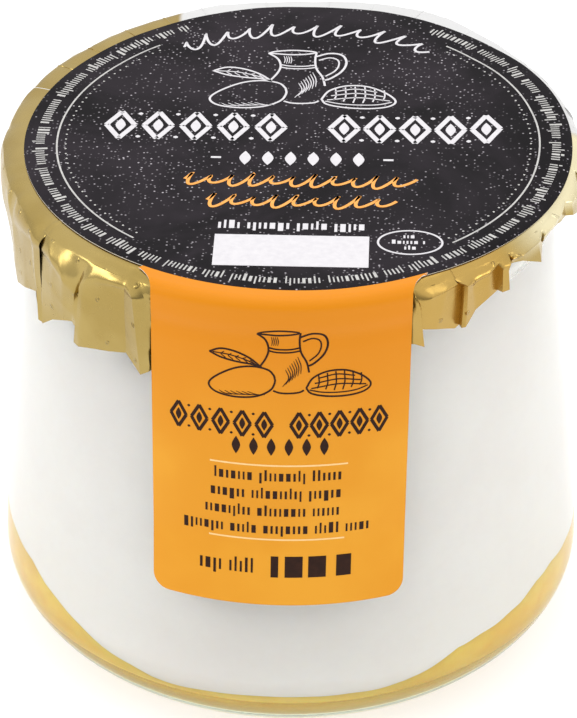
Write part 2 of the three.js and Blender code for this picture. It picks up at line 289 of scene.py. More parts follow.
def foil_material():
    m, nt, p = new_mat("gold_foil")
    c = obj_coords(nt)
    uv = uv_coords(nt)
    tone = noise(nt, c, 120, 3, 0.5)
    col = mix_colour(nt, remap(nt, tone, 0.35, 0.65, 0, 1, True), (0.376, 0.268, 0.081), (0.434, 0.321, 0.111))
    # painted reflection and highlight: a near-white, less metallic field along the back edge stands in for the bright
    # reflection on the far rim, and a paler gold beside that field for the highlights along the right rim;
    # one degree round the lid is 0.0545 in the sheet's flat coordinates
    split = nt.nodes.new("ShaderNodeSeparateXYZ")
    nt.links.new(uv, split.inputs[0])
    turn, drop = split.outputs["X"], split.outputs["Y"]
    slant = math_node(nt, "ADD", turn, math_node(nt, "MULTIPLY", drop, 0.8))
    # painted reflection: mask of the near-white field along the back edge
    back_glare = math_node(nt, "MULTIPLY", remap(nt, turn, 5.12, 5.28, 0, 1, True), remap(nt, slant, 11.19, 11.27, 1, 0, True))
    back_glare = math_node(nt, "MULTIPLY", back_glare, remap(nt, drop, 0.20, 0.24, 1, 0, True))
    # painted highlight: mask of the paler gold beside the back field
    pale_glare = math_node(nt, "MULTIPLY", remap(nt, turn, 2.7, 3.5, 0, 1, True), remap(nt, turn, 5.12, 5.28, 1, 0, True))
    pale_glare = math_node(nt, "MULTIPLY", pale_glare, remap(nt, drop, 0.05, 0.25, 1, 0, True))
    # painted reflection: a warmer, orange gold beside the tab on the right stands in for the amber tab reflected in the
    # foil
    tab_reflection = math_node(nt, "MULTIPLY", remap(nt, turn, 1.2, 1.6, 0, 1, True), remap(nt, turn, 2.5, 3.0, 1, 0, True))
    col = mix_colour(nt, math_node(nt, "MULTIPLY", tab_reflection, 0.6), col, (0.52, 0.315, 0.075))
    # painted highlight: paler gold over the right rim
    col = mix_colour(nt, math_node(nt, "MULTIPLY", pale_glare, 0.75), col, (0.90, 0.83, 0.56))
    # painted reflection: near-white colour of the back field
    white = mix_colour(nt, tone, (0.60, 0.597, 0.595), (0.69, 0.687, 0.683))
    col = mix_colour(nt, back_glare, col, white)
    nt.links.new(col, p.inputs["Base Color"])
    # the painted reflection and highlight fields are made less metallic, and the back field rougher
    glare_share = math_node(nt, "ADD", math_node(nt, "MULTIPLY", pale_glare, 0.5), back_glare)
    nt.links.new(math_node(nt, "SUBTRACT", 1.0, glare_share), p.inputs["Metallic"])
    grain = noise(nt, c, 1500, 3, 0.6)
    rough = remap(nt, grain, 0.3, 0.7, 0.22, 0.28)
    nt.links.new(math_node(nt, "ADD", rough, math_node(nt, "MULTIPLY", back_glare, 0.2)), p.inputs["Roughness"])
    soft = noise(nt, c, 230, 3, 0.5, 0.3)
    first = bump(nt, p, soft, 0.35, 0.10)
    fine = bump(nt, p, grain, 0.06, 0.02, first)
    # small pressed rings, about 4 mm apart; the sheet's flat coordinates are in units of 10 mm
    vor = nt.nodes.new("ShaderNodeTexVoronoi")
    vor.voronoi_dimensions = "2D"
    vor.inputs["Scale"].default_value = 2.5
    vor.inputs["Randomness"].default_value = 0.45
    nt.links.new(uv, vor.inputs["Vector"])
    d = vor.outputs["Distance"]
    outer = remap(nt, d, 0.035, 0.085, 1, 0, True)
    pit = remap(nt, d, 0.0, 0.05, 1, 0, True)
    ring = math_node(nt, "SUBTRACT", outer, math_node(nt, "MULTIPLY", pit, 1.4))
    bump(nt, p, ring, 0.8, 0.10, fine)
    return m


def label_material():
    m, nt, p = new_mat("label_charcoal")
    c = obj_coords(nt)
    cloud = noise(nt, c, 55, 4, 0.6, 0.6)
    base = mix_colour(nt, remap(nt, cloud, 0.35, 0.7, 0, 1, True), srgb(24, 22, 24), srgb(48, 43, 48))
    vor = nt.nodes.new("ShaderNodeTexVoronoi")
    vor.inputs["Scale"].default_value = 2300
    vor.inputs["Randomness"].default_value = 1.0
    nt.links.new(c, vor.inputs["Vector"])
    sep = nt.nodes.new("ShaderNodeSeparateColor")
    nt.links.new(vor.outputs["Color"], sep.inputs[0])
    spot = remap(nt, vor.outputs["Distance"], 0.12, 0.34, 1, 0, True)
    patch = noise(nt, c, 75, 4, 0.65, 0.5)
    few = remap(nt, math_node(nt, "ADD", math_node(nt, "MULTIPLY", sep.outputs[0], 0.75), math_node(nt, "MULTIPLY", patch, 1.3)), 1.03, 1.42, 0, 1)
    dots = math_node(nt, "MULTIPLY", spot, few)
    col = mix_colour(nt, math_node(nt, "MULTIPLY", dots, 0.9), base, srgb(196, 190, 196))
    nt.links.new(col, p.inputs["Base Color"])
    grain = noise(nt, c, 2200, 2, 0.5)
    nt.links.new(remap(nt, cloud, 0.3, 0.7, 0.50, 0.60), p.inputs["Roughness"])
    p.inputs["Specular IOR Level"].default_value = 0.05
    bump(nt, p, grain, 0.15, 0.02)
    return m


def tab_material():
    m, nt, p = new_mat("label_amber")
    c = obj_coords(nt)
    cloud = noise(nt, c, 70, 3, 0.5)
    col = mix_colour(nt, remap(nt, cloud, 0.35, 0.65, 0, 1, True), (0.785, 0.318, 0.013), (0.830, 0.365, 0.022))
    # painted shade: the amber darkens to deep orange towards the fold, standing in for the shade there
    split = nt.nodes.new("ShaderNodeSeparateXYZ")
    nt.links.new(c, split.inputs[0])
    col = mix_colour(nt, remap(nt, split.outputs["Z"], 0.034, 0.056, 0, 0.9, True), col, (0.745, 0.245, 0.003))
    nt.links.new(col, p.inputs["Base Color"])
    grain = noise(nt, c, 1800, 3, 0.6)
    nt.links.new(remap(nt, grain, 0.3, 0.7, 0.34, 0.44), p.inputs["Roughness"])
    p.inputs["Specular IOR Level"].default_value = 0.2
    bump(nt, p, grain, 0.15, 0.02)
    return m


def paper_material():
    m, nt, p = new_mat("paper_edge")
    c = obj_coords(nt)
    g = noise(nt, c, 1600, 3, 0.6)
    nt.links.new(mix_colour(nt, g, (0.74, 0.69, 0.58), (0.82, 0.78, 0.68)), p.inputs["Base Color"])
    p.inputs["Roughness"].default_value = 0.7
    return m


def ink(name, a, b, rough=0.5, gloss=0.5):
    m, nt, p = new_mat(name)
    c = obj_coords(nt)
    g = noise(nt, c, 1400, 3, 0.6)
    nt.links.new(mix_colour(nt, remap(nt, g, 0.3, 0.7, 0, 1), a, b), p.inputs["Base Color"])
    p.inputs["Roughness"].default_value = rough
    p.inputs["Specular IOR Level"].default_value = gloss
    return m


GLASS, CREAM, MANGO, FOIL = glass_material(), cream_material(), mango_material(), foil_material()
CHARCOAL, AMBER, EDGE = label_material(), tab_material(), paper_material()
WHITE_INK = ink("ink_white", srgb(213, 210, 214), srgb(223, 220, 223), gloss=0.3)
GREY_INK = ink("ink_pale_grey", srgb(176, 174, 172), srgb(206, 204, 200))
GOLD_INK = ink("ink_orange", srgb(240, 158, 60), srgb(250, 176, 84))
BROWN_INK = ink("ink_brown", srgb(38, 17, 8), srgb(52, 26, 14), gloss=0.15)
PALE_INK = ink("ink_light_rule", srgb(250, 205, 130), srgb(252, 214, 150))


# ------------------------------------------------------------------ glass pot
def outer_radius(z):
    z = np.asarray(z, float)
    u = (z - BELLY_Z) / (NECK_Z - BELLY_Z)
    up = BELLY_R + (NECK_R - BELLY_R) * (u * (1 - BODY_BULGE) + BODY_BULGE * u * u)
    # the heel eases into the taper
    ease = np.exp(-np.maximum(z - BELLY_Z, 0) / 2.6)
    up = up + (NECK_R - BELLY_R) * (1 - BODY_BULGE) / (NECK_Z - BELLY_Z) * 2.6 * (1 - ease) * -1 * np.exp(-np.maximum(z - BELLY_Z, 0) / 8)
    a = np.arccos(np.power(np.clip(1 - z / BELLY_Z, 0, 1), HEEL_POWER / 2))
    low = HEEL_R0 + (BELLY_R - HEEL_R0) * np.power(np.sin(a), 2 / HEEL_POWER)
    return np.where(z >= BELLY_Z, np.minimum(up, BELLY_R), low)


def bore_radius(z):
    z = np.asarray(z, float)
    u = (np.maximum(z, BELLY_Z) - BELLY_Z) / (NECK_Z - BELLY_Z)
    body = BELLY_R + (NECK_R - BELLY_R) * (u * (1 - BODY_BULGE) + BODY_BULGE * u * u)
    r = np.minimum(body - WALL, NECK_BORE_R + np.maximum(0, (50 - z) * 0.09))
    d = np.clip(FLOOR_CORNER - (z - FLOOR_Z), 0, FLOOR_CORNER)
    return r - (FLOOR_CORNER - np.sqrt(FLOOR_CORNER ** 2 - d ** 2))


def pot():
    prof = [(0, FOOT_RECESS_H), (8, FOOT_RECESS_H), (14, FOOT_RECESS_H), (16.6, FOOT_RECESS_H - 0.03), (17.4, FOOT_RECESS_H - 0.25),
            (18.1, 0.18), (18.7, 0.03), (19.4, 0.0), (21.5, 0.0), (23.4, 0.0)]
    for t in np.linspace(0.06, 1, 22):
        a = t * math.pi / 2
        prof.append((HEEL_R0 + (BELLY_R - HEEL_R0) * math.sin(a) ** (2 / HEEL_POWER), BELLY_Z * (1 - math.cos(a) ** (2 / HEEL_POWER))))
    for z in np.linspace(BELLY_Z, NECK_Z, 40)[1:]:
        prof.append((float(outer_radius(z)), float(z)))
    prof += [(28.86, 51.2), (28.84, 52.2), (28.95, 52.9), (29.25, 53.6), (29.6, 54.3), (29.82, 55.1), (29.9, 56.0), (29.85, 56.7),
             (29.6, 57.2), (29.1, 57.45), (28.3, 57.5), (27.5, 57.45), (26.9, 57.2), (26.6, 56.7), (26.5, 56.0), (26.5, 54.0), (26.5, 52.0)]
    for z in np.linspace(50, FLOOR_Z + FLOOR_CORNER, 18):
        prof.append((float(bore_radius(z)), float(z)))
    for d in np.linspace(6, 84, 12):
        z = FLOOR_Z + FLOOR_CORNER * (1 - math.sin(math.radians(d)))
        prof.append((float(bore_radius(z)), z))
    prof += [(float(bore_radius(FLOOR_Z)), FLOOR_Z), (14, FLOOR_Z + 0.1), (6, FLOOR_Z + 0.2), (0, FLOOR_Z + 0.22)]
    v, f = lathe(prof, 192)
    ob = make_mesh("glass_pot_clear", v, f, [GLASS], sharp=50)
    return ob


# ------------------------------------------------------------------ contents
# how much higher or lower the mango lies near the wall, by angle from the front toward the right
FLANKS = np.array([(-180, 0), (-150, 0), (-120, 0.3), (-90, 0.6), (-75, 0.9), (-69, 0.95), (-63, 1.3), (-57, 0.5), (-51, 0.4), (-45, 0.15), (-39, -0.5), (-33, -0.7), (-27, -1.1),
                   (-18, -0.9), (-8, -0.5), (0, -0.3), (10, -0.2), (18, 0.1), (27, 0.7), (33, 2.0), (39, 3.4), (45, 3.5), (51, 3.6), (57, 3.9), (63, 4.5), (69, 4.6), (75, 4.1),
                   (90, 3.0), (120, 1.5), (150, 0.5), (180, 0)])


def mango_level(x, y):
    front, back, side = np.maximum(0, -y / 30), np.maximum(0, y / 30), -x / 30
    wave = 0.28 * np.sin(0.19 * x + 0.6) + 0.22 * np.sin(0.23 * y - 0.11 * x + 2.1)
    small = 0.12 * np.sin(0.9 * x + 0.4 * y) * np.sin(0.7 * y + 1.3)
    turn = np.degrees(np.arctan2(x, -y))
    flanks = np.interp(turn, FLANKS[:, 0], FLANKS[:, 1]) * (np.hypot(x, y) / 30) ** 2
    return MANGO_Z + MANGO_SIDE * side - MANGO_FRONT * front + MANGO_BACK * back + wave + small + flanks


def wall_level(a, grow):
    z = np.full_like(a, MANGO_Z)
    for _ in range(40):
        r = bore_radius(z) + grow
        z = mango_level(r * np.cos(a), r * np.sin(a))
    return z


INTO = 0.1  # how far the contents reach into the glass


def contents():
    n = 240
    a = np.linspace(0, 2 * np.pi, n, endpoint=False)
    zl = wall_level(a, INTO)
    rl = bore_radius(zl) + INTO
    shares = np.linspace(0.08, 1, 14)
    inter = []
    for s in shares:
        x, y = rl * s * np.cos(a), rl * s * np.sin(a)
        z = mango_level(x, y) if s < 1 else zl
        inter.append(np.stack([x, y, z], -1))
    up = []
    for u in np.linspace(0, 1, 64)[1:] ** 1.7:
        z = zl + (FILL_Z - 0.5 - zl) * u
        r = bore_radius(z) + INTO
        up.append(np.stack([r * np.cos(a), r * np.sin(a), z], -1))
    top = []
    for s, dz in ((0.985, 0.35), (0.96, 0.5), (0.7, 0.5), (0.3, 0.5)):
        r = (bore_radius(FILL_Z) + INTO) * s
        top.append(np.stack([r * np.cos(a), r * np.sin(a), np.full(n, FILL_Z - 0.5 + dz)], -1))
    rings = inter + up + top
    v = np.vstack([[[0, 0, float(mango_level(0, 0))]]] + rings + [[[0, 0, FILL_Z]]])
    cream = make_mesh("panna_cotta_set", v, ring_faces(len(rings), n), [CREAM], sharp=60)

    low = []
    for s in (0.2, 0.5, 0.8):
        r = bore_radius(np.array(FLOOR_Z)) * s
        low.append(np.stack([r * np.cos(a), r * np.sin(a), np.full(n, FLOOR_Z - INTO)], -1))
    for u in np.linspace(0, 1, 16)[:-1]:
        z = FLOOR_Z - INTO + (zl - FLOOR_Z + INTO) * u
        r = bore_radius(z) + INTO
        low.append(np.stack([r * np.cos(a), r * np.sin(a), z], -1))
    rings = low + inter[::-1]
    v = np.vstack([[[0, 0, FLOOR_Z - INTO]]] + rings + [[[0, 0, float(mango_level(0, 0))]]])
    mango = make_mesh("mango_layer_set", v, ring_faces(len(rings), n), [MANGO], sharp=60)
    return cream, mango


# ------------------------------------------------------------------ foil lid
# Creases of the skirt, angles in degrees from the front toward the right:
# (angle at the bead, angle at the ridge under it, angle at the edge, ridge height, ridge radius, edge radius, edge height)
CREASES = [
    (-110, -110, -110, 54, 31.5, 30.7, 46.4),
    (-103, -103, -102.5, 53.4, 31.65, 30.3, 45.7),
    (-97, -97, -97, 54, 31.4, 30.6, 46.5),
    (-90, -90, -90, 53.5, 31.6, 30.3, 45.8),
    (-84, -84, -83.5, 54.2, 31.35, 30.5, 46.3),
    (-78, -77.5, -77, 53.8, 31.5, 30.45, 46.2),
    (-74.6, -73.2, -77.1, 54.6, 31.2, 30.7, 46.8),
    (-71.3, -68.4, -66.5, 54.3, 31.4, 31.4, 47.4),
    (-63.8, -62.1, -60.9, 55.2, 31.4, 31.6, 48.6),
    (-59.3, -57.3, -55.8, 55.6, 31.5, 31.7, 49.7),
    (-57.9, -55.9, -55.3, 55.4, 31.7, 31.75, 46.3),
    (-53.1, -53.3, -54.2, 55.8, 31.75, 31.45, 46.1),
    (-52.9, -54.2, -54.1, 55.6, 31.6, 31.5, 46.15),
    (-54.2, -55.0, -54.0, 55.2, 31.42, 31.6, 46.2),
    (-52.3, -54.0, -53.9, 55.4, 31.47, 31.7, 46.2),
    (-50.9, -48.2, -50.6, 55.3, 32.05, 31.4, 47.6),
    (-47.2, -44.6, -47.3, 54.3, 32.2, 31.25, 48.4),
    (-43, -42.1, -44.8, 53.3, 31.8, 31.1, 48.9),
    (-40.1, -41.6, -43.2, 54, 31.35, 31.3, 48.6),
    (-38.7, -40.6, -43.1, 54.1, 31.9, 31.75, 47),
    (-37.9, -39.3, -41.4, 54.8, 31.95, 31.95, 47),
    (-36.1, -37.1, -39.1, 55.6, 31.6, 31.85, 47.4),
    (-33.5, -33.3, -34, 56.2, 31.55, 31.6, 48),
    (-30, -30.1, -30.2, 56.3, 31.45, 31.35, 48.5),
    (-29.4, -27.4, -26, 56, 32.15, 32.2, 47.1),
    (-26.6, -25.4, -24.2, 55.6, 31.25, 31.3, 47.4),
    (-20, -20, -20, 55, 31, 31, 47.6),
    (-8, -8, -8, 55, 31, 31, 48.2),
    (6, 6, 6, 55, 31, 31, 49.2),
    (20, 20, 20, 55, 31, 31, 50.6),
    (26.5, 26.7, 26.9, 55.2, 31.2, 31.3, 51.3),
    (27.2, 27.8, 28.6, 55, 31.8, 31.85, 51),
    (26.8, 27.3, 27.9, 55.2, 31.2, 31.2, 52.9),
    (30.2, 29.8, 29.8, 56.6, 32, 31.5, 52.8),
    (34, 33.0, 31.0, 57, 31.95, 31.65, 52.7),
    (35.8, 36.2, 36.0, 56.9, 31.4, 31.15, 51.6),
    (36.3, 37.4, 37.1, 56.6, 31.2, 31.05, 51.8),
    (36.0, 37.3, 36.9, 56.8, 31.7, 31.6, 51.7),
    (36.4, 37.6, 37.3, 56.8, 32.1, 32.05, 52),
    (39.9, 39.4, 40.3, 56.4, 31.7, 31.55, 53.2),
    (43.9, 43.5, 43.9, 56.6, 31.6, 31.6, 54),
    (47, 46.7, 46.4, 56.8, 31.15, 31.3, 54.1),
    (48.4, 46.9, 46.7, 56.6, 31.85, 31.85, 54),
    (49.8, 48.3, 48.5, 56.4, 31.95, 31.95, 53.9),
    (50.3, 50, 49.8, 56.4, 30.9, 30.9, 54.6),
    (51, 49.8, 50.4, 57, 31.7, 31.4, 56.3),
    (54.5, 52.4, 52.8, 57, 32, 31.8, 56.2),
    (59.5, 58.3, 58.4, 56.8, 31.85, 32.0, 54.6),
    (61.2, 61.5, 61.5, 56.6, 31.1, 31.2, 55.8),
    (62.6, 60.9, 61.5, 56.8, 31.6, 31.4, 56.2),
    (66.7, 64, 64, 57.1, 31.7, 31.5, 56.6),
    (70.3, 67.1, 66.9, 57, 31.7, 31.5, 56.3),
    (73.6, 73.1, 73.1, 56.8, 31.2, 31.2, 55.6),
    (74.4, 74.4, 74.4, 56.6, 31.8, 31.8, 55.4),
    (78.4, 78.4, 78.4, 56.2, 31.8, 31.8, 54.5),
    (81.6, 81.6, 81.6, 56.4, 31.2, 31.2, 55.4),
]


def skirt_edge(deg):
    return SKIRT_MID_Z + SKIRT_SHIFT * math.sin(math.radians(deg))


def all_creases():
    rows = list(CREASES)
    a = 84.0
    while a < 244:
        w = rng.uniform(8.5, 14.0)
        z = skirt_edge(a) + rng.uniform(-0.9, 0.9)
        ridge = 55.6 + rng.uniform(-0.5, 0.7)
        over = rng.uniform(0.9, 1.9)
        out = rng.uniform(31.8, 32.15)
        z = min(z, ridge - 1.2)
        rows.append((a, a + 0.3, a + 0.5, ridge, 30.9, 30.9, z + rng.uniform(0.4, 1.1)))
        rows.append((a - 0.4, a - over, a - over * 1.2, ridge, out, out + 0.05, z - rng.uniform(0.2, 0.8)))
        rows.append((a + w * 0.35, a + w * 0.3, a + w * 0.28, ridge + 0.4, 31.7, 31.6, z - rng.uniform(-0.4, 0.6)))
        rows.append((a + w * 0.7, a + w * 0.68, a + w * 0.7, ridge, 31.7, 31.3, z + rng.uniform(-0.3, 0.7)))
        a += w
    return rows


BEAD_Z, BEAD_R = 57.45, 30.95
LID_FACE = 58.2


RAISED = np.array([(-180, 0.3), (-170, 0.37), (-161, 0.27), (-154, 0.24), (-146, 0.12), (-138, 0.1), (-128, 0), (40, 0.05), (65, 0.02), (75, 0.1),
                   (85, 0.35), (96, 0.6), (105, 0.55), (114, 0.68), (124, 0.68), (134, 0.5), (143, 0.55), (153, 0.64), (163, 0.6), (172, 0.39), (180, 0.3)])


# how far the foil reaches out beyond the bead, by angle
OUTLINE = np.array([(-180, 1.14), (-174, 0.86), (-168, 1.0), (-162, 1.4), (-156, 1.14), (-150, 0.86), (-144, 0.84), (-138, 0.78), (-132, 0.62), (-126, 0.6), (-120, 0.58), (-114, 0.47),
                    (-108, 0.51), (-102, 0.45), (-96, 0.38), (-90, 0.53), (-84, 0.26), (-78, 0.1), (-72, 0.1), (-66, 0), (66, -0.2), (72, -0.4), (78, -0.2), (84, 0.05), (90, 0.23),
                    (96, 0.3), (102, -0.05), (108, 0.05), (114, 0.16), (120, 0.2), (126, 0.4), (132, 0.45), (138, 0.9), (144, 1.34), (150, 1.9), (155, 1.9), (160, 1.8),
                    (166, 1.65), (169, 1.55), (174, 1.3), (180, 1.14)])


def around(r, a):
    """How far the lid's rim rolls down (1) or stands flat (0), and how much its edge is raised, at angle a in degrees."""
    a = (np.asarray(a, float) + 180) % 360 - 180
    roll = 1 - smooth((np.abs(a + 4) - 84) / 30)
    return roll, np.interp(a, RAISED[:, 0], RAISED[:, 1]) * smooth((np.asarray(r, float) - 15) / 14)


def lid_face(r, a):
    """Height of the foil's top face at radius r and angle a (degrees): flat, then rolling over the glass rim."""
    t = np.clip((np.asarray(r, float) - 28.9) / (BEAD_R - 28.9), 0, 1.25)
    roll, raised = around(r, a)
    return LID_FACE - (LID_FACE - BEAD_Z) * (t ** 2.4 * roll + 0.25 * t ** 6 * (1 - roll)) + raised


def value_noise(p, freq, seed):
    """Smooth noise on points p (n, 3), about -1..1."""
    g = np.random.default_rng(seed)
    out = np.zeros(len(p))
    for _ in range(9):
        k = g.normal(size=3)
        k = k / np.linalg.norm(k) * freq * g.uniform(0.6, 1.5)
        out += np.sin(p @ k + g.uniform(0, 6.28))
    return out / 4.2


def foil():
    cr = all_creases()
    cols = []
    m = len(cr)
    for i in range(m):
        a = np.array(cr[i], float)
        b = np.array(cr[(i + 1) % m], float)
        if i == m - 1:
            b[:3] += 360
        arc = max(abs(b[0] - a[0]), abs(b[1] - a[1]), abs(b[2] - a[2])) * math.pi / 180 * 31.3
        arc = max(arc, abs(b[4] - a[4]), abs(b[6] - a[6]) * 0.5)
        steps = max(2, int(math.ceil(arc / 0.36)))
        for s in range(steps):
            cols.append((a, b, s / steps))
    n = len(cols)
    upper, lower = 13, 24
    rows = upper + lower
    tu = np.linspace(0, 1, upper)
    tl = np.linspace(0, 1, lower + 1)[1:]

    def path(c):
        """One crease line from the bead over the ridge to the edge."""
        at, ar, ae, zr, rr, re, ze = c
        zu = BEAD_Z + (zr - BEAD_Z) * tu
        ru = BEAD_R + (rr - BEAD_R) * np.sin(tu * math.pi / 2) + 0.18 * np.sin(tu * math.pi)
        au = at + (ar - at) * smooth(tu)
        zl = zr + (ze - zr) * tl
        rl = rr + (re - rr) * tl
        al = ar + (ae - ar) * tl
        z, r, t = np.concatenate([zu, zl]), np.concatenate([ru, rl]), np.radians(np.concatenate([au, al]))
        return np.stack([r * np.sin(t), -r * np.cos(t), z], -1)

    P = np.zeros((rows, n, 3))
    UV = np.zeros((rows, n, 2))
    keep = np.concatenate([1 - 0.6 * smooth((tu - 0.3) / 0.7), np.full(lower, 0.35)])
    for j, (a, b, s) in enumerate(cols):
        pa, pb = path(a), path(b)
        p = pa * (1 - s) + pb * s
        r = np.hypot(p[:, 0], p[:, 1])
        want = np.hypot(pa[:, 0], pa[:, 1]) * (1 - s) + np.hypot(pb[:, 0], pb[:, 1]) * s
        p[:, :2] *= (1 + (want / r - 1) * keep)[:, None]
        P[:, j] = p
        ang = np.arctan2(p[:, 0], -p[:, 1])
        mid = math.radians((a[1] + b[1]) / 2)
        ang = mid + (ang - mid + math.pi) % (2 * math.pi) - math.pi
        UV[:, j, 0] = ang * 3.12
        UV[:, j, 1] = (58 - p[:, 2]) / 10
    flat = P.reshape(-1, 3)
    P0Z = flat[:, 2].copy()
    deg = np.degrees(np.arctan2(flat[:, 0], -flat[:, 1]))
    high = smooth((flat[:, 2] - 54.0) / 3.4)
    flat[:, 2] += (lid_face(np.full(len(flat), BEAD_R), deg) - BEAD_Z) * high
    flat[:, :2] *= (1 + np.interp(deg, OUTLINE[:, 0], OUTLINE[:, 1]) / 31 * high)[:, None]
    w = smooth((57.6 - P0Z) / 1.0)
    d = value_noise(flat, 0.6, 3) * 0.07 + value_noise(flat, 1.7, 4) * 0.018
    crumple = 0.5 - np.abs(value_noise(flat * [1, 1, 0.7], 0.55, 9))
    d = (d + 0.12 * np.clip(crumple, -0.3, 0.5)) * w
    ang = np.arctan2(flat[:, 0], -flat[:, 1])
    near = smooth((P0Z - 55.2) / 1.2) * smooth((57.9 - P0Z) / 0.6)
    pucker = np.clip(value_noise(np.stack([ang * 31, flat[:, 2] * 0.5, 0 * ang], -1), 1.5, 15), 0, 1) ** 2
    d -= 0.16 * near * pucker
    flat[:, 0] += np.sin(ang) * d
    flat[:, 1] -= np.cos(ang) * d
    r = np.hypot(flat[:, 0], flat[:, 1])
    behind_tab = smooth((25.9 - np.abs(np.degrees(ang) - 0.9)) / 0.5)
    limit = 33.3 - 2.2 * behind_tab * smooth((57.2 - flat[:, 2]) / 0.8)
    over = np.minimum(1, limit / r)
    flat[:, :2] *= over[:, None]
    P = flat.reshape(P.shape)
    # rim and flat top, from the middle outwards
    first = P[0]
    r0 = np.hypot(first[:, 0], first[:, 1])
    a0 = np.arctan2(first[:, 0], -first[:, 1])
    tops = []
    ring_r = (6, 12, 14, 15.5, 17, 18.5, 20, 21.5, 23, 24.5, 26, 27.3, 28.2, 29.0, 29.35, 29.65, 29.95, 30.2, 30.42, 30.6, 30.76, 30.87)
    for r in ring_r:
        k = smooth((r - 28.8) / 2.1)
        pt = np.stack([r * np.sin(a0), -r * np.cos(a0), lid_face(np.full(n, float(r)), np.degrees(a0))], -1)
        bumps = value_noise(pt, 1.1, 31) * 0.05 + value_noise(pt, 2.6, 32) * 0.02
        rr = r + (r0 - BEAD_R) * k
        pt[:, 0], pt[:, 1] = rr * np.sin(a0), -rr * np.cos(a0)
        pt[:, 2] += bumps * k
        tops.append(pt)
    T = np.array(tops)
    TUV = np.stack([np.repeat((UV[0, :, 0])[None], len(tops), 0), np.repeat(np.array([-(31 - r) / 10 for r in ring_r])[:, None], n, 1)], -1)
    allP = np.vstack([[[0, 0, LID_FACE]], T.reshape(-1, 3), P.reshape(-1, 3)])
    allUV = np.vstack([[[0, -3.1]], TUV.reshape(-1, 2), UV.reshape(-1, 2)])
    R = len(tops) + rows
    faces = []
    for j in range(n):
        k = (j + 1) % n
        faces.append((0, 1 + j, 1 + k))
        for i in range(R - 1):
            p, q = 1 + i * n + j, 1 + i * n + k
            faces.append((p, p + n, q + n, q))
    v, f, _ = thicken(allP, faces, 0.05)
    uv = np.vstack([allUV, allUV])
    return make_mesh("foil_lid_gold", v, f, [FOIL], sharp=24, uv=uv)


# ------------------------------------------------------------------ sticker
TAB_FLAT = TAB_R - TAB_FOLD_R
TAB_START = LABEL_R - LABEL_Y
BEND = math.pi / 2 * TAB_FOLD_R
TAB_RUN = TAB_FLAT - TAB_START + BEND + (LABEL_TOP - TAB_FOLD_R - TAB_END_Z)


def tab_path(run):
    """Radius and height of the paper's outer face after a run from the round part's front edge."""
    run = np.asarray(run, float)
    s1 = run - (TAB_FLAT - TAB_START)
    a = np.clip(s1 / TAB_FOLD_R, 0, math.pi / 2)
    r = np.where(s1 <= 0, TAB_START + run, TAB_FLAT + TAB_FOLD_R * np.sin(a))
    z = np.where(s1 <= 0, LABEL_TOP, LABEL_TOP - TAB_FOLD_R * (1 - np.cos(a)))
    s2 = s1 - BEND
    zz = LABEL_TOP - TAB_FOLD_R - s2
    on_glass = outer_radius(zz) + 0.35
    low = np.maximum(TAB_R - 0.05, 0) * np.ones_like(zz)
    # the paper tucks in a little under the bead, then hangs to the glass
    tuck = 0.22 * np.exp(-((zz - 53.9) / 1.1) ** 2)
    k = smooth((38 - zz) / 14)
    hang = (TAB_R - 0.12 * smooth((57 - zz) / 4)) * (1 - k) + np.maximum(on_glass, 31.6) * k
    r = np.where(s2 > 0, hang - tuck, r)
    z = np.where(s2 > 0, zz, z)
    # the round part has already dipped a little where the tab leaves it
    dip = lid_face(TAB_START, 0.0) - LID_FACE
    z = z + dip * (1 - smooth(run / 3.0))
    return r, z


def tab_half(run):
    w = TAB_HALF
    if run < TAB_FILLET:
        d = TAB_FILLET - run
        w += TAB_FILLET - math.sqrt(TAB_FILLET ** 2 - d * d)
    left = TAB_RUN - run
    if left < TAB_CORNER:
        d = TAB_CORNER - left
        w -= TAB_CORNER - math.sqrt(max(0.0, TAB_CORNER ** 2 - d * d))
    return w


def tab_mid(run):
    return math.radians(TAB_TURN + (TAB_TURN_END - TAB_TURN) * (run / TAB_RUN))


def disc_reach(a):
    dx, dy = np.sin(a), -np.cos(a)
    b = dx * LABEL_X + dy * LABEL_Y
    return b + np.sqrt(b * b - LABEL_X ** 2 - LABEL_Y ** 2 + LABEL_R ** 2)


def over_lid(reach, deg):
    """The round part follows the foil where it rolls over the rim."""
    return reach, lid_face(reach, deg) + (LABEL_TOP - LID_FACE)


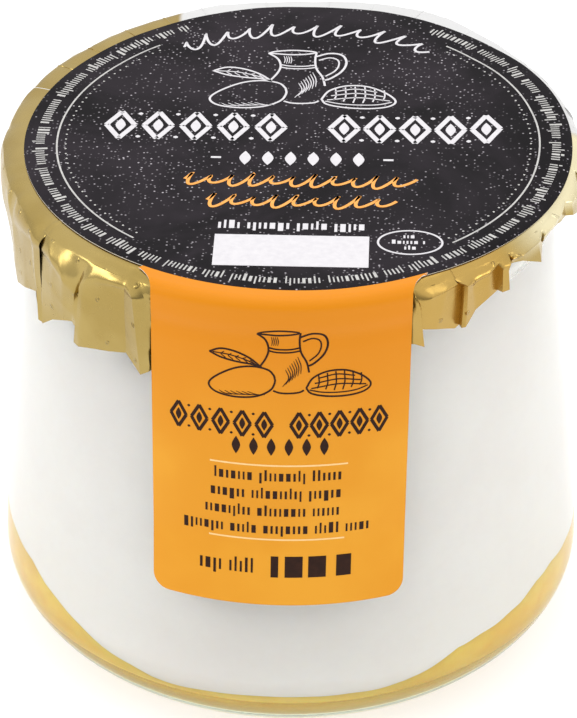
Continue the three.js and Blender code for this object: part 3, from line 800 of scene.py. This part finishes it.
def sticker():
    cols, rest = 64, 200
    span = tab_half(0) / TAB_R
    ang = list(math.radians(TAB_TURN) - span + 2 * span * np.arange(cols + 1) / cols)
    lo, hi = ang[-1], ang[0] + 2 * math.pi
    ang += list(lo + (hi - lo) * np.arange(1, rest) / rest)
    ang = np.array(ang)
    n = len(ang)
    pts = [np.array([[LABEL_X, LABEL_Y, LABEL_TOP]])]
    shares = [0.1, 0.25, 0.4] + list(np.linspace(0.46, 0.98, 27)) + [0.987, 0.994, 1.0]
    reach = disc_reach(ang)
    for s in shares:
        r, z = over_lid(reach * s, np.degrees(ang))
        pts.append(np.stack([r * np.sin(ang), -r * np.cos(ang), z], -1))
    faces, mats = [], []
    for j in range(n):
        k = (j + 1) % n
        faces.append((0, 1 + j, 1 + k))
        mats.append(0)
        for i in range(len(shares) - 1):
            p, q = 1 + i * n + j, 1 + i * n + k
            faces.append((p, p + n, q + n, q))
            mats.append(0)
    base = 1 + len(shares) * n
    above = [1 + (len(shares) - 1) * n + j for j in range(cols + 1)]
    runs = list(np.linspace(0, 3.2, 20)[1:]) + list(np.linspace(3.2, 8, 26)[1:]) + list(np.linspace(8, TAB_RUN - TAB_CORNER, 44)[1:])
    runs += list(TAB_RUN - TAB_CORNER * (1 - np.sin(np.linspace(0, math.pi / 2, 9)[1:])))
    for run in runs:
        r, z = tab_path(run)
        w = tab_half(run) / float(r)
        a = tab_mid(run) - w + 2 * w * np.arange(cols + 1) / cols
        row = np.stack([r * np.sin(a), -r * np.cos(a), np.full(cols + 1, float(z))], -1)
        ids = list(range(base, base + cols + 1))
        pts.append(row)
        for j in range(cols):
            faces.append((above[j], ids[j], ids[j + 1], above[j + 1]))
            mats.append(1)
        base += cols + 1
        above = ids
    P = np.vstack(pts)
    count = len(faces)
    v, f, fm = thicken(P, faces, PAPER, mats)
    fm = np.array(fm)
    fm[count:] = 2  # underside and cut edges are bare paper
    return make_mesh("sticker_paper", v, f, [CHARCOAL, AMBER, EDGE], face_mat=fm, sharp=40)


# ------------------------------------------------------------------ print
PRINT_TURN = math.radians(1.1)


def on_disc(xy, h):
    xy = np.asarray(xy, float)
    c, s = math.cos(PRINT_TURN), math.sin(PRINT_TURN)
    x = xy[..., 0] * c - xy[..., 1] * s + LABEL_X
    y = xy[..., 0] * s + xy[..., 1] * c + LABEL_Y
    z = lid_face(np.hypot(x, y), np.degrees(np.arctan2(x, -y))) + (LABEL_TOP - LID_FACE)
    return np.stack([x, y, z + h], -1)


_runs = np.linspace(0, TAB_RUN, 900)
_rz = tab_path(_runs)


def on_tab(az, h):
    """az: (distance round the pot from the tab's middle line, height)."""
    az = np.asarray(az, float)
    run = np.interp(-az[..., 1], -_rz[1][60:], _runs[60:])
    r, z = tab_path(run)
    r2, z2 = tab_path(run + 0.05)
    dr, dz = r2 - r, z2 - z
    l = np.hypot(dr, dz)
    nr, nz = -dz / l, dr / l
    t = np.radians(TAB_TURN + (TAB_TURN_END - TAB_TURN) * (run / TAB_RUN)) + az[..., 0] / r
    rr, zz = r + nr * h, z + nz * h
    return np.stack([rr * np.sin(t), -rr * np.cos(t), zz], -1)


class Print:
    """Collects flat shapes of one ink as thin closed solids on the paper."""

    def __init__(self, place, low=-0.012, high=0.028):
        self.place, self.low, self.high = place, low, high
        self.v, self.f = [], []
        self.count = 0

    def patch(self, grid):
        """grid: (nu, nv, 2) points, anticlockwise seen from outside."""
        g = np.asarray(grid, float)
        nu, nv = g.shape[:2]
        top = self.place(g, self.high).reshape(-1, 3)
        bot = self.place(g, self.low).reshape(-1, 3)
        base = self.count
        m = nu * nv
        idx = lambda i, j: base + i * nv + j
        quads = []
        for i in range(nu - 1):
            for j in range(nv - 1):
                quads.append((idx(i, j), idx(i + 1, j), idx(i + 1, j + 1), idx(i, j + 1)))
        edge = [(i, 0) for i in range(nu)] + [(nu - 1, j) for j in range(1, nv)] + [(i, nv - 1) for i in range(nu - 2, -1, -1)] + [(0, j) for j in range(nv - 2, 0, -1)]
        self.f += quads
        self.f += [tuple(q + m for q in reversed(qd)) for qd in quads]
        for k in range(len(edge)):
            p, q = idx(*edge[k]), idx(*edge[(k + 1) % len(edge)])
            self.f.append((q, p, p + m, q + m))
        self.v += [top, bot]
        self.count += 2 * m

    def rect(self, x0, y0, x1, y1, step=0.7, tilt=0.0):
        nu = max(2, int(abs(x1 - x0) / step) + 2)
        nv = max(2, int(abs(y1 - y0) / step) + 2)
        xs, ys = np.linspace(x0, x1, nu), np.linspace(y0, y1, nv)
        g = np.stack(np.meshgrid(xs, ys, indexing="ij"), -1)
        g[..., 1] += (g[..., 0] - (x0 + x1) / 2) * tilt
        self.patch(g)

    def stroke(self, pts, width, closed=False, step=0.3, taper=False):
        p = np.asarray(pts, float)
        if closed:
            p = np.vstack([p, p[:1]])
        seg = np.linalg.norm(np.diff(p, axis=0), axis=1)
        s = np.concatenate([[0], np.cumsum(seg)])
        k = max(3, int(s[-1] / step) + 2)
        q = np.linspace(0, s[-1], k)
        x, y = np.interp(q, s, p[:, 0]), np.interp(q, s, p[:, 1])
        c = np.stack([x, y], -1)
        if closed:
            d = np.roll(c[:-1], -1, 0) - np.roll(c[:-1], 1, 0)
            d = np.vstack([d, d[:1]])
        else:
            d = np.gradient(c, axis=0)
        d /= np.maximum(np.linalg.norm(d, axis=1, keepdims=True), 1e-9)
        nrm = np.stack([-d[:, 1], d[:, 0]], -1)
        w = np.full(k, width / 2)
        if taper:
            w = w * (0.45 + 0.55 * np.sin(np.linspace(0, math.pi, k)) ** 0.6)
        self.patch(np.stack([c - nrm * w[:, None], c + nrm * w[:, None]], 1))

    def blob(self, cx, cy, rx, ry=None, n=12, pointed=0.0):
        """A filled round, or a leaf shape with points above and below."""
        ry = ry or rx
        rows = max(4, int(ry * 2 / 0.5) + 4)
        t = np.linspace(-1, 1, rows)
        half = np.sqrt(np.clip(1 - t * t, 0, 1)) * (1 - pointed) + (1 - t * t) * pointed
        half = np.maximum(half, 0.03)
        w = np.linspace(-1, 1, max(3, int(rx * 2 / 0.6) + 3))
        g = np.stack([cx + w[:, None] * rx * half[None], np.repeat(cy + t[None] * ry, len(w), 0)], -1)
        self.patch(g)

    def piece(self, name, mat, slot="paper"):
        ob = make_mesh(name, np.vstack(self.v), self.f, [mat], sharp=35)
        ob.data.validate()
        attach(ob, "root")
        return ob


def curve(pts, n=40):
    """Smooth line through points (Catmull-Rom)."""
    p = np.asarray(pts, float)
    p = np.vstack([2 * p[0] - p[1], p, 2 * p[-1] - p[-2]])
    out = []
    for i in range(1, len(p) - 2):
        t = np.linspace(0, 1, 12, endpoint=False)[:, None]
        a, b, c, d = p[i - 1], p[i], p[i + 1], p[i + 2]
        out.append(0.5 * ((2 * b) + (-a + c) * t + (2 * a - 5 * b + 4 * c - d) * t ** 2 + (-a + 3 * b - 3 * c + d) * t ** 3))
    out.append(p[-2:-1])
    return np.vstack(out)


def still_life(pr, box, width):
    """A plain jug between a whole fruit with a leaf and a cut half, as line work. box: x0, y0, x1, y1."""
    x0, y0, x1, y1 = box
    f = lambda pts: np.stack([x0 + np.asarray(pts, float)[:, 0] * (x1 - x0), y0 + np.asarray(pts, float)[:, 1] * (y1 - y0)], -1)
    w = width
    # jug: lip, neck, belly, foot, handle
    pr.stroke(f(curve([(0.30, 0.90), (0.335, 0.93), (0.42, 0.955), (0.50, 0.95), (0.56, 0.925), (0.50, 0.895), (0.42, 0.885), (0.345, 0.895), (0.30, 0.90)])), w)
    pr.stroke(f(curve([(0.30, 0.90), (0.35, 0.82), (0.37, 0.70), (0.355, 0.58), (0.315, 0.44)])), w)
    pr.stroke(f(curve([(0.56, 0.925), (0.555, 0.80), (0.565, 0.66), (0.60, 0.52), (0.615, 0.38)])), w)
    pr.stroke(f(curve([(0.40, 0.12), (0.44, 0.09), (0.50, 0.085), (0.56, 0.10), (0.585, 0.13)])), w)
    pr.stroke(f(curve([(0.56, 0.86), (0.63, 0.91), (0.70, 0.88), (0.725, 0.76), (0.70, 0.62), (0.64, 0.50), (0.605, 0.47)])), w * 1.1)
    pr.stroke(f(curve([(0.575, 0.80), (0.63, 0.84), (0.675, 0.81), (0.685, 0.73), (0.665, 0.63), (0.615, 0.54)])), w * 0.8)
    pr.stroke(f(curve([(0.372, 0.72), (0.42, 0.70), (0.50, 0.70), (0.563, 0.725)])), w * 0.8)
    pr.stroke(f(curve([(0.372, 0.68), (0.42, 0.66), (0.50, 0.66), (0.565, 0.685)])), w * 0.8)
    for i in range(7):  # shade lines down the jug's side
        t = i / 6
        pr.stroke(f(curve([(0.545 - 0.012 * i, 0.60 - 0.03 * i), (0.565 - 0.012 * i, 0.48 - 0.03 * i), (0.565 - 0.018 * i, 0.36 - 0.03 * i)])), w * 0.5, taper=True)
    for i in range(4):
        pr.stroke(f(curve([(0.385 + 0.012 * i, 0.86), (0.392 + 0.012 * i, 0.80), (0.388 + 0.012 * i, 0.745)])), w * 0.45, taper=True)
    # whole fruit, left
    pr.stroke(f(curve([(0.405, 0.33), (0.37, 0.41), (0.28, 0.45), (0.17, 0.41), (0.06, 0.28), (0.005, 0.15), (0.045, 0.045), (0.16, 0.0), (0.29, 0.025), (0.38, 0.12), (0.41, 0.24), (0.405, 0.33)])), w)
    for i in range(6):
        pr.stroke(f(curve([(0.07 + 0.035 * i, 0.07 + 0.004 * i), (0.10 + 0.04 * i, 0.035 + 0.004 * i), (0.15 + 0.04 * i, 0.028 + 0.006 * i)])), w * 0.45, taper=True)
    # its leaf
    pr.stroke(f(curve([(0.01, 0.60), (0.08, 0.66), (0.17, 0.64), (0.26, 0.56), (0.33, 0.44)])), w)
    pr.stroke(f(curve([(0.01, 0.60), (0.08, 0.54), (0.18, 0.50), (0.27, 0.48), (0.33, 0.44)])), w)
    pr.stroke(f(curve([(0.03, 0.60), (0.14, 0.585), (0.24, 0.53), (0.32, 0.45)])), w * 0.6)
    for i in range(5):
        pr.stroke(f(curve([(0.08 + 0.045 * i, 0.59 - 0.012 * i), (0.10 + 0.045 * i, 0.625 - 0.02 * i)])), w * 0.45)
        pr.stroke(f(curve([(0.08 + 0.045 * i, 0.585 - 0.012 * i), (0.11 + 0.045 * i, 0.54 - 0.014 * i)])), w * 0.45)
    # cut half, right: rim and scored squares
    pr.stroke(f(curve([(0.60, 0.16), (0.64, 0.30), (0.73, 0.385), (0.84, 0.38), (0.94, 0.28), (0.995, 0.15), (0.96, 0.06), (0.86, 0.02), (0.73, 0.03), (0.63, 0.08), (0.60, 0.16)])), w)
    pr.stroke(f(curve([(0.62, 0.13), (0.70, 0.09), (0.80, 0.075), (0.90, 0.085), (0.975, 0.13)])), w * 0.7)
    for i in range(6):
        x = 0.665 + 0.052 * i
        top = 0.375 - 0.9 * (x - 0.79) ** 2 * 3.2
        pr.stroke(f(curve([(x, 0.10 + 0.02 * abs(i - 2.5)), (x + 0.012, 0.22), (x + 0.008, top)])), w * 0.7)
    for i, y in enumerate((0.165, 0.235, 0.305)):
        a = 0.63 + 0.02 * i
        b = 0.965 - 0.035 * i
        pr.stroke(f(curve([(a, y - 0.015), ((a + b) / 2, y + 0.03), (b, y - 0.015)])), w * 0.7)


def greeked(pr, x0, x1, y, height, seed, word=4.0, thick=0.3, gap=0.3, tilt=0.0):
    """Small print as groups of short upright ticks."""
    g = np.random.default_rng(seed)
    x = x0
    left = g.uniform(0.5, 1.2) * word
    while x < x1 - thick:
        w = thick * g.choice([0.8, 1.0, 1.9], p=[0.35, 0.4, 0.25])
        w = min(w, x1 - x)
        lo, hi = y - height / 2, y + height / 2
        k = g.random()
        if k < 0.18:
            hi += height * 0.38
        elif k < 0.28:
            lo -= height * 0.34
        yy = (x - (x0 + x1) / 2) * tilt
        pr.rect(x, lo + yy, x + w, hi + yy, step=0.8)
        x += w + gap
        left -= w + gap
        if left < 0:
            x += gap * 1.7
            left = g.uniform(0.5, 1.3) * word


def petal(pr, cx, cy, rx, ry, lean=0.0):
    """A solid slim leaf, upright or leaning by an angle in degrees."""
    t = np.linspace(-1, 1, 11)
    half = (1 - t * t) * (0.8 + 0.2 * (1 - np.abs(t)))
    half = np.maximum(half, 0.02)
    w = np.array([-1, -0.4, 0.4, 1.0])
    g = np.stack([w[:, None] * rx * half[None], np.repeat(t[None] * ry, len(w), 0)], -1)
    a = math.radians(lean)
    x = g[..., 0] * math.cos(a) + g[..., 1] * math.sin(a)
    y = -g[..., 0] * math.sin(a) + g[..., 1] * math.cos(a)
    pr.patch(np.stack([cx + x, cy + y], -1))


def lozenge(pr, cx, cy, rx, ry, width):
    """An open lozenge with a solid one inside."""
    pts = [(cx, cy + ry), (cx + rx, cy), (cx, cy - ry), (cx - rx, cy)]
    for k in range(4):
        pr.stroke([pts[k], pts[(k + 1) % 4]], width, step=0.6)
    petal(pr, cx, cy, rx * 0.36, ry * 0.46)


def wave(pr, x0, x1, y, amp, pitch, width, seed, arc=None):
    """A running scroll line."""
    g = np.random.default_rng(seed)
    t = np.arange(x0, x1, 0.08)
    ph = (t - x0) / pitch * 2 * math.pi
    env = 0.75 + 0.25 * np.sin((t - x0) * 0.9 + g.uniform(0, 6))
    yy = y + amp * env * np.sin(ph)
    xx = t + 0.32 * amp * np.sin(ph + 0.9) + 0.25 * (yy - y)
    pts = np.stack([xx, yy], -1)
    if arc:
        a = pts[:, 0] / arc
        rr = arc + (pts[:, 1] - y)
        pts = np.stack([rr * np.sin(a), rr * np.cos(a)], -1)
    pr.stroke(pts, width, step=0.16)


def arc_line(pr, radius, width, a0, a1):
    a = np.radians(np.arange(a0, a1, 0.8))
    pr.stroke(np.stack([radius * np.sin(a), radius * np.cos(a)], -1), width, step=0.5)


def lid_print():
    w = Print(on_disc)
    # title band: a frieze of lozenges between small beads
    for x0, x1 in ((-21.6, -1.0), (3.0, 22.4)):
        k = 5
        pitch = (x1 - x0) / k
        for i in range(k):
            cx = x0 + pitch * (i + 0.5)
            lozenge(w, cx, 2.75, 1.55, 2.85, 0.6)
            if i < k - 1:
                w.blob(cx + pitch / 2, 5.2, 0.26)
                w.blob(cx + pitch / 2, 0.3, 0.26)
    # second band, smaller
    w.rect(-9.3, -3.95, -8.2, -3.6)
    w.rect(9.3, -3.95, 10.4, -3.6)
    for i in range(6):
        petal(w, -5.6 + 2.45 * i, -3.8, 0.62, 1.4)
    w.rect(-8.05, -25.3, 8.05, -19.3, step=1.2)
    still_life(w, (-10.2, 6.9, 10.6, 20.4), 0.24)
    wave(w, -14.8, 15.2, 0, 1.45, 2.5, 0.3, 5, arc=24.3)
    o = np.linspace(0, 2 * math.pi, 60, endpoint=False)
    w.stroke(np.stack([12.3 + 3.35 * np.cos(o), -20.3 + 2.3 * np.sin(o)], -1), 0.22, closed=True)
    for i, y in enumerate((-19.2, -20.3, -21.4)):
        half = (0.7, 1.9, 0.6)[i]
        greeked(w, 12.3 - half, 12.3 + half, y, 0.55, 40 + i, 2.0, 0.2, 0.2)
    greeked(w, -7.8, 7.9, -17.5, 1.15, 11, 4.2, 0.3, 0.3)
    w.piece("print_white", WHITE_INK)

    g = Print(on_disc)
    # ring in two halves, open at the back and the front; angles from the back, clockwise
    arc_line(g, 26.2, 0.19, 38, 140.5)
    arc_line(g, 26.2, 0.19, 219, 322)
    for a in np.arange(40, 141, 2.32):
        g.blob(25.25 * math.sin(math.radians(a)), 25.25 * math.cos(math.radians(a)), 0.12)
    for a in np.arange(220, 321, 2.32):
        g.blob(25.25 * math.sin(math.radians(a)), 25.25 * math.cos(math.radians(a)), 0.12)
    gen = np.random.default_rng(21)
    a, left = 31.0, 6.0
    while a < 331.0:
        width = 0.17 * gen.choice([0.85, 1.0, 1.9], p=[0.4, 0.4, 0.2])
        da = math.degrees(width / 28.0)
        aa = np.radians(np.array([a, a + da]))
        k = gen.random()
        r0, r1 = 27.55 - (0.35 if k < 0.12 else 0), 28.5 + (0.4 if k > 0.85 else 0)
        grid = np.stack([np.stack([r0 * np.sin(aa), r0 * np.cos(aa)], -1), np.stack([r1 * np.sin(aa), r1 * np.cos(aa)], -1)], 1)
        g.patch(grid[::-1])
        step = width + 0.28
        left -= step
        a += math.degrees(step / 28.0)
        if left < 0:
            a += math.degrees(0.6 / 28.0)
            left = gen.uniform(2.0, 5.5)
    g.piece("print_small_ring", GREY_INK)

    o = Print(on_disc)
    wave(o, -12.2, 12.8, -8.35, 1.4, 2.2, 0.38, 2)
    wave(o, -9.6, 10.4, -12.5, 1.4, 2.2, 0.38, 3)
    o.piece("print_orange", GOLD_INK)


def tab_print():
    b = Print(on_tab)
    still_life(b, (-7.5, 46.4, 9.6, 55.2), 0.2)
    for x0, x1 in ((-11.9, -0.4), (1.0, 11.6)):
        pitch = (x1 - x0) / 5
        for i in range(5):
            cx = x0 + pitch * (i + 0.5)
            lozenge(b, cx, 43.1, 0.86, 1.6, 0.36)
            if i < 4:
                b.blob(cx + pitch / 2, 44.4, 0.16)
                b.blob(cx + pitch / 2, 41.8, 0.16)
    for i in range(6):
        petal(b, -4.5 + 1.85 * i, 40.3, 0.45, 1.1)
    for seed, (x0, x1, z) in enumerate(((-6.8, 6.6, 36.4), (-7.2, 6.6, 34.1), (-7.8, 7.1, 31.8), (-10.2, 9.8, 29.5))):
        greeked(b, x0, x1, z, 1.0, 60 + seed, 5.0, 0.24, 0.3)
    greeked(b, -8.4, -1.7, 24.6, 1.3, 70, 3.4, 0.28, 0.34)
    for x0, x1 in ((-0.7, 0.1), (0.8, 2.7), (3.3, 5.2), (6.3, 7.9)):
        b.rect(x0, 23.5, x1, 26.1, step=0.6)
    b.piece("print_brown", BROWN_INK)

    p = Print(on_tab)
    p.stroke([(-7.3, 37.9), (7.3, 37.9)], 0.2)
    p.stroke([(-7.4, 28.2), (7.1, 28.2)], 0.2)
    p.piece("print_light_rules", PALE_INK)


# ------------------------------------------------------------------ build
def keep(ob, cad, slot):
    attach(ob, "root")
    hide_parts(cad)
    return ob


keep(pot(), "glass_pot", "glass")
cream, mango = contents()
keep(cream, "panna_cotta", "cream")
keep(mango, "mango_layer", "mango")
keep(foil(), "foil_lid", "foil")
keep(sticker(), "label", "paper")
lid_print()
tab_print()

# ------------------------------------------------------------------ stage
floor_mesh = bpy.data.meshes.new("floor")
S = 3.0
floor_mesh.from_pydata([(-S, -S, 0), (S, -S, 0), (S, S, 0), (-S, S, 0)], [], [(0, 1, 2, 3)])
floor = bpy.data.objects.new("floor", floor_mesh)
bpy.context.scene.collection.objects.link(floor)
floor.location.z = -0.00002
fm, fnt, fp = new_mat("floor_white")
fp.inputs["Base Color"].default_value = (0.50, 0.50, 0.50, 1)
fp.inputs["Emission Color"].default_value = (1.0, 1.0, 1.0, 1)
fp.inputs["Emission Strength"].default_value = 0.62
fp.inputs["Roughness"].default_value = 0.9
fp.inputs["Specular IOR Level"].default_value = 0.1
floor_mesh.materials.append(fm)

world = bpy.data.worlds.new("studio")
bpy.context.scene.world = world
world.use_nodes = True
wn = world.node_tree
bg = wn.nodes["Background"]
tc = wn.nodes.new("ShaderNodeTexCoord")
sx = wn.nodes.new("ShaderNodeSeparateXYZ")
wn.links.new(tc.outputs["Generated"], sx.inputs[0])
up = wn.nodes.new("ShaderNodeMapRange")
up.interpolation_type = "SMOOTHSTEP"
up.inputs["From Min"].default_value = 0.0
up.inputs["From Max"].default_value = 0.75
up.inputs["To Min"].default_value = 0.74
up.inputs["To Max"].default_value = 1.0
wn.links.new(sx.outputs["Z"], up.inputs["Value"])
away = wn.nodes.new("ShaderNodeMapRange")
away.interpolation_type = "SMOOTHSTEP"
away.inputs["From Min"].default_value = -1.0
away.inputs["From Max"].default_value = -0.45
away.inputs["To Min"].default_value = 0.52
away.inputs["To Max"].default_value = 1.2
wn.links.new(sx.outputs["Y"], away.inputs["Value"])
mul = wn.nodes.new("ShaderNodeMath")
mul.operation = "MULTIPLY"
wn.links.new(up.outputs[0], mul.inputs[0])
wn.links.new(away.outputs[0], mul.inputs[1])
wn.links.new(mul.outputs[0], bg.inputs["Strength"])
bg.inputs["Color"].default_value = (1, 1, 1, 1)


def area(name, loc, target, size, power, colour=(1, 1, 1), size_y=None):
    l = bpy.data.lights.new(name, "AREA")
    l.shape = "RECTANGLE"
    l.size = size
    l.size_y = size_y or size
    l.energy = power
    l.color = colour
    o = bpy.data.objects.new(name, l)
    bpy.context.scene.collection.objects.link(o)
    o.location = loc
    d = Vector(target) - Vector(loc)
    o.rotation_euler = d.to_track_quat("-Z", "Y").to_euler()
    return o


area("key", (-0.62, -0.16, 0.40), (0, 0, 0.04), 0.22, 0.92, size_y=0.28)
area("fill", (0.62, -0.10, 0.37), (0, 0, 0.04), 0.20, 0.62, (1, 0.975, 0.94), size_y=0.26)
area("top", (0.0, 0.15, 0.85), (0, 0, 0.04), 0.5, 0.8)

# ------------------------------------------------------------------ camera
AZ, EL = math.radians(3.12), math.radians(34.27)
DIST, AIM_Z, SIDE = 0.3962, 0.02989, -0.000283
right = Vector((math.cos(AZ), math.sin(AZ), 0))
back = Vector((math.sin(AZ) * math.cos(EL), -math.cos(AZ) * math.cos(EL), math.sin(EL)))
aim = Vector((0, 0, AIM_Z)) + right * SIDE
cd = bpy.data.cameras.new("camera")
cd.sensor_width = 36
cd.lens = 3500 / 718 * 36
cd.clip_start = 0.01
cd.clip_end = 20
cam = bpy.data.objects.new("camera", cd)
bpy.context.scene.collection.objects.link(cam)
cam.location = aim + back * DIST
cam.rotation_euler = (-back).to_track_quat("-Z", "Y").to_euler()
bpy.context.scene.camera = cam
bpy.context.scene.view_settings.view_transform = "Standard"
